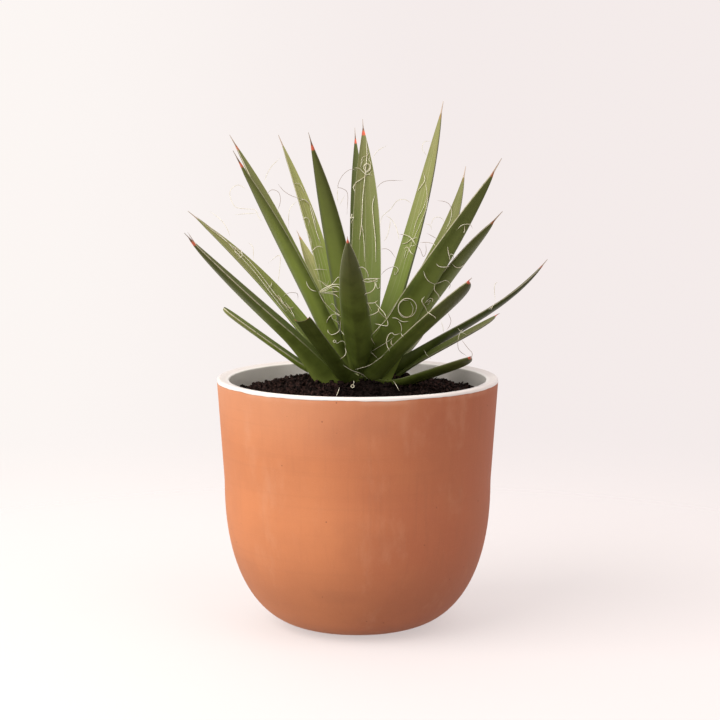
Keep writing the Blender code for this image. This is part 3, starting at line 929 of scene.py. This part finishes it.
# Each thread by its name, with the places along it in pixels of the photograph
STOUT_CURLS = {
    "double ring": ring(407.4, 307.8, 9.2, 9.4, -0.6, 1.05),
    "bow under the ring": ((392.2, 317.8), (396.5, 318.3), (400.9, 321), (404.1, 321.8), (408.5, 321.4)),
    "left face tangle 1": ((233.6, 246.6), (237.4, 249.1), (241.2, 251), (241.9, 256.1), (238, 259)),
    "left face hoop": ((271.8, 281.6), (271.2, 285.5), (268, 288.7)),
    "left face snarl 1": ((274.4, 295.9), (279.5, 298.2), (285.9, 305.9), (291, 308.4), (293.5, 306.9)),
    "left face snarl 4": ((284.4, 301.7), (289.6, 307.6), (293, 314.1), (294.8, 317.6)),
    "hook from the knot": ((434.5, 284.2), (429.1, 281.5), (425.3, 276.6), (423.6, 271.1)),
    "tail from the knot": ((434.5, 284.2), (434.5, 290.1), (438.3, 295), (439.4, 299.9)),
    "left cup": ((436.1, 263.6), (438.8, 266.3), (444.3, 267.1), (449.7, 266.3)),
    "right cup": ((452.4, 264.1), (456.2, 267.4), (461.6, 266.8), (465.9, 261.9)),
    "upper knot, stem": ((426.9, 311.8), (425.3, 307.5), (422.6, 303.1), (422, 299.9), (424.7, 296.6)),
    "upper knot, scribble": (
        (424.7, 303.4), (427.6, 300.2), (430.4, 298.3), (432.9, 299.6), (431.8, 302.1),
    ),
    "upper knot, tail": ((426.9, 311.8), (431.2, 314.5), (434.5, 316.7), (436.1, 318.9)),
    "lower knot, horn": ((400.9, 333), (401.6, 328.1), (400.5, 323.8), (398.2, 321)),
    "lower knot, tail": ((400.9, 333), (402, 335.2), (403.6, 336.8)),
    "lower knot, arch": (
        (389.5, 350.9), (387, 345.4), (386.8, 338.9), (389.3, 334.1), (392.2, 333), (394.6, 334.8),
        (399.8, 333.6),
    ),
    "lower knot, inner arch": ((393.3, 346), (391.1, 343.3), (391.8, 339.8)),
    "hoop": ((358.6, 267.9), (361.8, 267.1), (365.6, 269.5), (367.8, 273.9), (368.1, 278.7)),
    "tangle, upper": ((362.4, 280.9), (365.1, 279.3), (369.4, 278.7), (374.8, 278.7), (379.7, 278.4)),
    "tangle, lower": ((362.4, 280.9), (367.2, 282), (371.6, 281.5), (375.9, 279.8), (378.1, 278.7)),
    "tangle, hook": (
        (374.8, 281.5), (375.2, 285.8), (373, 290.1), (369.4, 292.6), (365.6, 293.6), (364.9, 295.4),
    ),
    "zigzag, upper": ((366.7, 303.1), (370.5, 303.1), (374.8, 302.6), (377.5, 300.4)),
    "zigzag, long": ((374.8, 302.6), (379.2, 307.5), (384.1, 312.9), (386.8, 318.9)),
    "zigzag, middle": (
        (368.9, 315.6), (373.8, 314), (378.1, 311.3), (378.4, 308.6), (379.4, 312), (382.4, 315.1),
        (386.8, 318.9),
    ),
    "zigzag, lower": ((375.4, 323.8), (380.3, 324.8), (386.8, 325.9), (387.9, 323.2), (386.8, 318.9)),
    "left horn": ((306, 280.9), (308.1, 286.3), (311.9, 290.1), (316.3, 291.4)),
    "left bar": ((313.6, 269.5), (319, 269.3), (327.1, 269.7)),
    "bundle 1": ((319, 291.8), (326, 287.4), (332.5, 284.7), (339.6, 284.2)),
    "bundle 3": ((319.5, 292.8), (327.1, 292.3), (333.6, 291.8), (339, 291.2)),
    "bundle 4": ((319.5, 292.8), (328.2, 293.4), (334.7, 294.5), (339, 297.7)),
    "left edge": ((319, 292.8), (323.3, 301), (328.2, 306.4), (332.5, 310.7), (338, 314), (340.1, 315.1)),
    "left arch": (
        (326.6, 323.2), (327.7, 319.4), (330.9, 315.6), (334.7, 314), (338, 315.1), (340.9, 317.2),
    ),
    "left scoop": (
        (340.7, 319.4), (340.3, 325.9), (339.4, 330.3), (335.8, 333.5), (331.5, 334.6), (328.4, 332.3),
        (327.7, 329.7),
    ),
    "eyelet": ring(334.6, 341.2, 1.3, 1.2, 1.0, 1.0),
    "low hook": ((345, 347.6), (346.1, 352), (344.5, 355.7), (340.1, 359)),
    "soil curl": ring(352.6, 386.2, 1.5, 1.5, 1.4, 1.1),
    "soil curl, stalk": ((353.2, 384.6), (354, 382), (353.5, 380.6)),
    "soil fibre 1": ((339.6, 387.2), (338, 392.1), (335.8, 397)),
    "pale leaf curl": ((302.6, 220), (305.8, 217.4), (309, 220), (308.5, 225.6)),
    "pale leaf sweep": ((298.6, 201), (304.4, 199.6), (309.6, 204.6), (313.4, 214), (316.4, 228)),
    "middle line": (
        (366.3, 139), (366.9, 155), (364.9, 176.8), (362.7, 198.5), (361.5, 224.5), (359.3, 240),
    ),
    "middle line, right": ((375, 195), (372.5, 205), (373.4, 220), (375.4, 240), (375.8, 262)),
    "middle knot": ring(367.2, 167.6, 3.4, 3.8, 0.4, 1.6),
    "middle knot, tail": ((366.9, 175), (361, 179.4), (356, 182.7), (352.2, 188)),
    "tall leaf hook": ((423.3, 172.4), (424.9, 180), (421, 186.4), (416.8, 192)),
    "tall leaf arc 1": ((399.3, 234.3), (404.2, 234.7), (409.1, 236.5), (412.7, 240.1), (415.8, 245)),
    "tall leaf arc 2": ((402, 243.7), (406.9, 242.8), (410.9, 239.6), (417.1, 237.4)),
    "tall leaf arc 3": ((404.2, 248.6), (407.3, 247.2), (409.1, 249.5), (411.3, 253), (414, 254.8)),
    "keeled leaf drop": ((464.5, 225.4), (464.5, 230.7), (463.6, 233)),
    "keeled leaf stalk": ((447.5, 246.8), (448.4, 253), (449.3, 257.5)),
    "middle knot, foot": ((355.5, 183.7), (353.6, 187.5), (355, 192.3)),
    "far leaf squiggle": (
        (350.7, 215.3), (352.2, 214.3), (350.7, 218.1), (353.6, 217.2), (351.7, 222), (352.4, 223.9),
    ),
    "pale leaf line": ((309.6, 205.7), (312.4, 216.2), (317.2, 234.4), (321.1, 244)),
    "pale leaf low arch": ((310.5, 253.5), (315.3, 247.8), (319.1, 246.4), (323, 247.3)),
    "second spine": ((187.6, 232), (191.5, 238), (196.5, 245)),
}
FACE_CURLS = {
    "left face line": (
        (196.6, 216.6), (222.1, 237), (240, 256.1), (255.3, 272.7), (271.8, 294.4), (285.9, 312.2),
    ),
    "left face line 2": (
        (199.1, 220), (223.4, 239), (246.3, 258.2), (261.6, 276), (276.9, 296.4), (292.2, 314.2),
    ),
}
FINE_CURLS = {
    "double ring inner": ring(405.7, 308.9, 7.4, 8.9, 1.2, 0.95),
    "left face tangle 2": ((234.8, 252.3), (239.3, 253.6), (241.2, 248.8)),
    "left face tangle 3": ((236.8, 247.5), (234.8, 251), (238.7, 256.1), (242.5, 257.4)),
    "left face snarl 2": ((276.9, 298.8), (278.2, 295.4), (282, 300.8), (280.8, 304)),
    "left face snarl 3": ((285.2, 311.2), (289.7, 308.4), (292.9, 306.9)),
    "left face wisp": ((282.5, 296.9), (287, 293.6), (292.2, 292.5), (297.3, 293.8), (298, 299.5)),
    "left wall wisp": ((268, 263.1), (279.5, 255.5), (279.4, 271.4), (277.6, 283.6)),
    "left wall curl": ((248.5, 243), (252.4, 246), (253.3, 251), (253.3, 260.4)),
    "first margin": ((371, 335.7), (380.3, 325.9), (386.8, 318.9), (392.2, 310.7), (399.2, 298.8)),
    "loop from the knot": (
        (434.5, 284.2), (439.9, 282.5), (445.3, 280.4), (449.1, 282.5), (450.2, 285.8), (448.6, 289),
    ),
    "small loop over the cups": (
        (448.6, 251), (449.1, 255.4), (450.2, 259.8), (453.2, 258.2), (453.1, 255), (450.6, 254.2),
        (449.4, 257), (451, 261),
    ),
    "upper knot, squiggle": (
        (425.8, 302.6), (428.9, 301.4), (430.6, 300.2), (428.6, 303.9), (427, 304.6),
    ),
    "tangle, cross": ((363, 280.2), (366.6, 279), (371, 280.6), (375.9, 281.8), (377.6, 280)),
    "tangle, curl": ((375.9, 282), (376.5, 285.8), (377.5, 288.5), (379.7, 287.4), (379.7, 283.6)),
    "zigzag, side": ((367.2, 302.1), (369.4, 306.4), (371.6, 310.7)),
    "far loop": (
        (380.8, 274.9), (385.7, 270.1), (391.1, 267.4), (395.4, 266.8), (398.2, 269.5), (396.5, 273.3),
        (394.6, 274.6), (394.8, 271.2),
    ),
    "left bar, spur": ((319, 264), (319.4, 269.5)),
    "bundle 2": ((319, 292.3), (327.1, 288.5), (333.6, 282.5), (337.4, 277.7), (340.1, 277.1)),
    "bundle 5": ((317.4, 279.8), (321.7, 282), (326, 285.8), (331.5, 288), (336.9, 290.1)),
    "bundle 6": ((320, 292), (326.4, 290.4), (331.8, 287), (336.9, 286.4), (340, 288.4)),
    "star 1": ((324.4, 282.2), (327.6, 287.4)),
    "star 2": ((328.8, 280.6), (326, 288)),
    "star 3": ((322.6, 286.4), (330.6, 284.4)),
    "left edge, inner": ((329, 306.4), (332.6, 303.8), (336.4, 308.6), (340.4, 313.4)),
    "left arch, tail": ((331.5, 315.6), (332.5, 318.9), (336.3, 321), (339.6, 322.1)),
    "left arch, scribble": ((336.4, 318), (335, 320.4), (338, 323), (339.9, 326)),
    "left scoop, tail": ((340.1, 329.7), (343.4, 334.1), (343.9, 335.7)),
    "eyelet, tail": (
        (335.6, 342.4), (337.4, 343.2), (340.4, 341.4), (343.4, 341.2), (345, 343.4), (344.8, 346.8),
    ),
    "low margin, right": ((385, 354.3), (377.5, 359.8), (370, 365), (362.5, 367.6), (355, 369.5)),
    "low margin, left": ((343, 365), (347.4, 367.9), (352, 370.5), (360.7, 373.6), (368, 379)),
    "low margin, slant": ((370.5, 352), (378.2, 347.4), (386.4, 342.4), (394.4, 336.8)),
    "low margin, notch": ((370.5, 336.8), (372.6, 341), (374.8, 344.4)),
    "low margin, fork": ((370.5, 352), (374.4, 355.3), (378, 359)),
    "soil fibre 2": ((393.3, 381.2), (396.5, 385.6), (399.2, 391)),
    "right knot 1": ((457.5, 328.1), (460.9, 331.5), (467, 335)),
    "right knot 2": ((463.1, 329.2), (460.9, 331.5), (458.7, 336.5), (458.1, 340.5)),
    "right wisp": ((458.1, 340), (457.8, 345.2), (459.7, 350.9), (467.6, 356.6)),
    "right long wisp": ((460.9, 339.1), (467.6, 347.8), (472.1, 353.2), (471.4, 359.2)),
    "right wisp 2": ((440.8, 320), (443, 327.6), (443.6, 332)),
    "right wisp 3": ((447.7, 312.5), (450.9, 320.2), (449.4, 326.2), (446.4, 330.2)),
    "right spur": ((424.1, 349.9), (426.3, 354.3), (430.8, 358.8)),
    "right squiggle": (
        (488.2, 309.7), (491, 307.5), (492.7, 306.3), (491, 309.3), (493.3, 305.2), (495.5, 303),
    ),
    "right wall hook": ((495.5, 301.3), (494.4, 290.5), (494.9, 284.5), (497.7, 281.8)),
    "far left loop": (
        (262, 222), (258, 216), (254.8, 209.8), (245, 208.8), (235, 206.6), (230, 196), (231.5, 188.7),
        (238.6, 185), (247, 190),
    ),
    "far left bar": ((259, 213), (247, 213.6), (235, 214.7)),
    "far left arc": ((279.8, 158.3), (272, 166), (266.8, 174.6), (265, 181)),
    "left leaf loop": ((266.8, 194), (272, 189.8), (278.6, 192.4), (280.4, 201), (277, 212.6)),
    "long left bow": ((278, 184), (284, 191), (292.8, 196.3), (303.6, 199.5), (310, 205)),
    "pale leaf arch": ((292.8, 183.3), (299.3, 183.8), (302.6, 188.7), (304.7, 194)),
    "pale leaf drop": ((298, 200.6), (291.7, 206), (289, 212.6), (288.5, 227.7)),
    "low left wisp": ((210, 211.5), (220, 219), (226.6, 227.7), (230, 236.4)),
    "middle drop": (
        (356, 170), (349, 170), (341.6, 176.8), (337.8, 186.5), (342.7, 188.7), (347.6, 194),
        (347, 214.7),
    ),
    "middle line, fork": ((361.5, 222), (363, 232), (364.2, 246), (364.6, 262)),
    "middle knot, cross": ((353.3, 168), (359.3, 168.6), (366.9, 175), (372.3, 170.8)),
    "middle wisp": ((371.8, 159.4), (377.7, 150.7), (387.5, 145.3)),
    "middle wisp 2": ((375.6, 189.8), (381, 183.3), (388.6, 180.6), (402.7, 180.6)),
    "tall leaf line": ((425, 180), (427, 193), (426.5, 207), (420, 224.5), (412, 243), (404, 263)),
    "tall leaf line 2": ((427.6, 194), (423.3, 208), (416.8, 220), (412.4, 235.3)),
    "tall leaf wisp": ((430.9, 141), (424.4, 142), (422.2, 148.6), (427, 156)),
    "tall leaf loop": (
        (411.6, 203.8), (404.8, 199.5), (397, 201), (390.7, 209), (382, 217), (380.4, 226.7),
    ),
    "thin leaf loop": ((437.4, 200.6), (445, 201.7), (450.4, 206), (452, 216.9)),
    "thin leaf wisp": ((424.4, 223.4), (429.8, 225), (432, 229.9)),
    "tall leaf arc 4": ((406.9, 248.6), (405.1, 253.9), (403.8, 259.3)),
    "tall leaf arc 5": ((410, 245), (412.7, 245.9), (416.3, 244.6)),
    "wisp between 1": ((431, 225.4), (433.2, 219.1), (437.7, 216.9), (442.1, 218.7), (443.9, 221.8)),
    "wisp between 2": ((419.8, 242.8), (426.1, 242.3), (433.2, 243.7), (435.6, 246.5)),
    "wisp between 3": ((425.6, 242.3), (426.1, 251.3), (423.4, 256.6), (420.3, 249.5), (417.6, 246.2)),
    "wisp between 4": ((427, 233.4), (432.3, 236.1), (438, 239.5)),
    "wisp left of tall 1": (
        (385.9, 215.5), (391.3, 219.1), (395.7, 226.3), (398.4, 235.2), (398.8, 239.6),
    ),
    "wisp left of tall 2": ((390.4, 219.1), (389.8, 226), (387.6, 235), (384.2, 241.3)),
    "wisp left of tall 3": ((378.6, 249.4), (386.1, 248.8), (390.9, 251.6), (395.7, 258.3)),
    "thin leaf fall": ((451.1, 207.5), (451.5, 214.6), (449.3, 222.7), (445.7, 229.8)),
    "middle knot, bar": ((367.9, 174.1), (372.7, 175.6)),
    "middle knot, hair 1": ((361.2, 162.2), (362.7, 157.4), (367, 155.5), (368.9, 152.6)),
    "middle knot, hair 2": (
        (362.2, 167.4), (366, 163.6), (368.9, 165), (369.4, 169.3), (367, 172.2), (365.1, 169.3),
        (366.5, 164.5),
    ),
    "middle knot, hair 3": (
        (370.3, 155.9), (368.9, 159.8), (370.8, 162.6), (369.9, 167.4), (367, 171.2), (366, 175),
    ),
    "middle knot, hair 4": ((363.2, 159.8), (361.2, 163.6), (360.8, 167.4)),
    "left drop": ((337.8, 186.6), (337.3, 196.1), (338.3, 202.8)),
    "left drop 2": ((345, 195.2), (339.2, 205.7)),
    "pale leaf fringe": ((305.7, 227.7), (307.7, 233.4), (310.5, 238.2), (311.5, 245.9)),
    "keeled leaf arch": ((456.9, 229.9), (462.3, 225), (469.9, 224.5), (472.6, 228.8)),
}


def spline(points, steps):
    """Smooth places through given ones (Catmull-Rom)."""
    hand = np.array(points, float)
    hand = np.vstack((2 * hand[0] - hand[1], hand, 2 * hand[-1] - hand[-2]))
    made = []
    for before, low, high, after in zip(hand, hand[1:], hand[2:], hand[3:]):
        for u in np.arange(steps) / steps:
            bend = 2 * before - 5 * low + 4 * high - after
            turn = 3 * low - before - 3 * high + after
            made.append(low + 0.5 * ((high - before) * u + bend * u**2 + turn * u**3))
    made.append(hand[-2])
    return np.array(made)


def surfaces_in_view(pieces):
    """The plant and soil as one tree of faces, to lay the threads on."""
    points = []
    faces = []
    for piece in pieces:
        first = len(points)
        points += [v.co.copy() for v in piece.data.vertices]
        faces += [[first + corner for corner in polygon.vertices] for polygon in piece.data.polygons]
    return BVHTree.FromPolygons(points, faces)


def laid_thread(path, thick, ground):
    """Sends the thread's places out from the camera until they meet the plant.

    Also says for each place whether its line of sight meets nothing.
    """
    eye = Vector(camera.location)
    turn = camera.rotation_euler.to_matrix()
    per_pixel = SENSOR / LENS / PICTURE
    sights = []
    depths = []
    for x, y in spline(path, STEPS_PER_POINT):
        sight = turn @ Vector(((x - PICTURE / 2) * per_pixel, (PICTURE / 2 - y) * per_pixel, -1))
        sight.normalize()
        sights.append(sight)
        depths.append(ground.ray_cast(eye, sight)[3] or math.nan)
    depths = np.array(depths)
    depths[depths > BEHIND_PLANT] = math.nan
    met = np.flatnonzero(~np.isnan(depths))
    if not len(met):
        met = np.arange(len(depths))
        nearest = [ground.find_nearest(eye + sight * CAMERA_DISTANCE)[0] for sight in sights]
        depths = np.array([(place - eye).dot(sight) for place, sight in zip(nearest, sights)])
    smooth = np.interp(np.arange(len(depths)), met, depths[met])
    # a thread hangs free between a near leaf and a far one, and never dives straight back
    dives = [STEEPEST * CAMERA_DISTANCE * one.angle(after) for one, after in zip(sights, sights[1:])]
    for n, dive in enumerate(dives):
        smooth[n + 1] = min(smooth[n + 1], smooth[n] + dive)
    for n, dive in reversed(list(enumerate(dives))):
        smooth[n] = min(smooth[n], smooth[n + 1] + dive)
    for _ in range(SMOOTHINGS):
        smooth[1:-1] = (smooth[:-2] + 2 * smooth[1:-1] + smooth[2:]) / 4
    stand_off = OFF_LEAF * np.sin(np.linspace(0.15, math.pi - 0.15, len(depths)))
    smooth -= stand_off + thick / 2
    smooth[met] = np.minimum(smooth[met], depths[met] - thick / 2)
    free = np.ones(len(depths))
    free[met] = 0
    return [eye + sight * depth for sight, depth in zip(sights, smooth)], free


def thread_tree():
    """Node tree: gives curves a round thickness from their radius."""
    tree, start, (lines, sides, finish) = new_tree("threads", Sides=THREAD_SIDES)
    curves = start.node("GeometryNodeMeshToCurve", {}, {0: lines})
    radius = {"Name": "thread_radius"}
    width = start.node("GeometryNodeInputNamedAttribute", {"data_type": "FLOAT"}, radius)
    circle = start.node("GeometryNodeCurvePrimitiveCircle", {}, {"Resolution": sides, "Radius": 1.0})
    sockets = {0: curves, 1: circle, "Scale": width, "Fill Caps": True}
    end_tree(start, start.node("GeometryNodeCurveToMesh", {}, sockets), finish)
    return tree


def thread_finish():
    finish, start, shader = new_finish("dry_thread", {"Roughness": 0.55})
    place = start.node("ShaderNodeTexCoord", out="Object")
    # painted shade: a thread seen against the bright wall is painted browner, for its shaded side
    # browner where nothing lies behind it in the camera's view, as it looks in the photograph
    thread = mix(between(cloud(place, 260, 2), 0.4, 0.7), THREAD_CREAM, THREAD_STRAW)
    feed(shader, Base_Color=mix(stored(start, "hangs_free") * 0.85, thread, THREAD_SHADE_BROWN))
    return finish


def thread_lines(ground):
    """All the threads as lines, each point with its radius and whether the view behind it is empty."""
    points = []
    edges = []
    radii = []
    hangs = []
    for thick, curls in ((THREAD, STOUT_CURLS), (FACE_THREAD, FACE_CURLS), (FINE_THREAD, FINE_CURLS)):
        for path in curls.values():
            laid, free = laid_thread(path, thick, ground)
            first = len(points)
            steps = np.arange(len(laid))
            points += laid
            hangs += list(free)
            edges += [(n, n + 1) for n in range(first, first + len(laid) - 1)]
            thinned = np.clip(np.minimum(steps, steps[::-1]) / THREAD_END_STEPS, THREAD_END, 1)
            radii += list(thinned * thick / 2)
    mesh = bpy.data.meshes.new("thread_lines")
    mesh.from_pydata(points, edges, [])
    keep(mesh, "thread_radius", radii)
    keep(mesh, "hangs_free", hangs)
    return mesh


blades = [bpy.data.objects[f"blade_{number:02d}"] for number in range(1, len(LEAVES) + 1)]
ground = surfaces_in_view([*blades, skin, crumbs, clods])
threads = show("margin_threads", thread_lines(ground))
threads.data = grown("margin_threads", thread_tree(), threads, {"Finish": thread_finish()})
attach(threads, "root")

# The studio: a plain pale floor that fades into a pale wall, a large soft light from the left and
# a weak one from the right.
FLOOR_SIZE = 3.0
FLOOR_COLOUR = (0.84, 0.79, 0.78, 1)
FLOOR_SHARE = 0.44
FLOOR_WHOLE_WITHIN = 0.22
FLOOR_GONE_BEYOND = 0.80
WALL_COLOUR = (0.905, 0.835, 0.825, 1)
WALL_LEFT = (0.975, 0.925, 0.900, 1)
AMBIENT = 0.32
SKY = 0.88
WALL_GLOW = 0.95
KEY_POWER = 56.5
KEY_DISTANCE = 2.15
KEY_SIDE = math.radians(33)
KEY_RISE = math.radians(34)
KEY_COLOUR = (1.0, 0.965, 0.93)
KEY_WIDTH = 2.2
KEY_DEPTH = 1.6
FILL_POWER = 9.0
FILL_SIZE = 1.6
FILL_AT = (1.1, -1.0, AIM_HEIGHT + 1.35)


def floor_finish():
    finish, start, shader = new_finish("pale_floor", {"Roughness": 0.8})
    place = start.node("ShaderNodeTexCoord", out="Object")
    away = start.node("ShaderNodeVectorMath", {"operation": "LENGTH"}, {0: place}, "Value")
    shader.inputs["Base Color"].default_value = FLOOR_COLOUR
    feed(shader, Alpha=between(away, FLOOR_GONE_BEYOND, FLOOR_WHOLE_WITHIN) * FLOOR_SHARE)
    return finish


bpy.ops.mesh.primitive_circle_add(vertices=96, radius=FLOOR_SIZE, fill_type="TRIFAN")
floor = bpy.context.object
floor.name = "floor"
floor.data.materials.append(floor_finish())

world = bpy.data.worlds.new("studio")
bpy.context.scene.world = world
world.use_nodes = True
seen_wall = Wire(world.node_tree)
path = seen_wall.node("ShaderNodeLightPath", out="Is Camera Ray")
backdrop = world.node_tree.nodes["Background"]
towards = seen_wall.node("ShaderNodeTexCoord", out="Generated")
daylight = between(axis(towards, "Z"), -0.2, 0.5) * (SKY - AMBIENT) + AMBIENT
daylight = daylight + between(axis(towards, "Y"), -0.1, 0.6) * (WALL_GLOW - daylight)
strength = daylight * (1 - path) + path
tint = mix(between(axis(towards, "X"), -0.17, 0.06), WALL_LEFT, WALL_COLOUR)
seen_wall.tree.links.new(tint.socket, backdrop.inputs["Color"])
seen_wall.tree.links.new(strength.socket, backdrop.inputs["Strength"])


def lamp(name, place, power, width, depth, colour=(1.0, 1.0, 1.0)):
    """A soft square or oblong light that faces the plant."""
    light = bpy.data.lights.new(name, "AREA")
    light.shape = "RECTANGLE"
    light.size = width
    light.size_y = depth
    light.energy = power
    light.color = colour
    holder = bpy.data.objects.new(name, light)
    holder.location = place
    holder.rotation_euler = (holder.location - Vector((0, 0, AIM_HEIGHT))).to_track_quat("Z", "Y").to_euler()
    bpy.context.scene.collection.objects.link(holder)


key_place = (
    -KEY_DISTANCE * math.cos(KEY_RISE) * math.cos(KEY_SIDE),
    -KEY_DISTANCE * math.cos(KEY_RISE) * math.sin(KEY_SIDE),
    AIM_HEIGHT + KEY_DISTANCE * math.sin(KEY_RISE),
)
lamp("window", key_place, KEY_POWER, KEY_WIDTH, KEY_DEPTH, KEY_COLOUR)
lamp("fill", FILL_AT, FILL_POWER, FILL_SIZE, FILL_SIZE)

bpy.context.scene.view_settings.view_transform = "Standard"
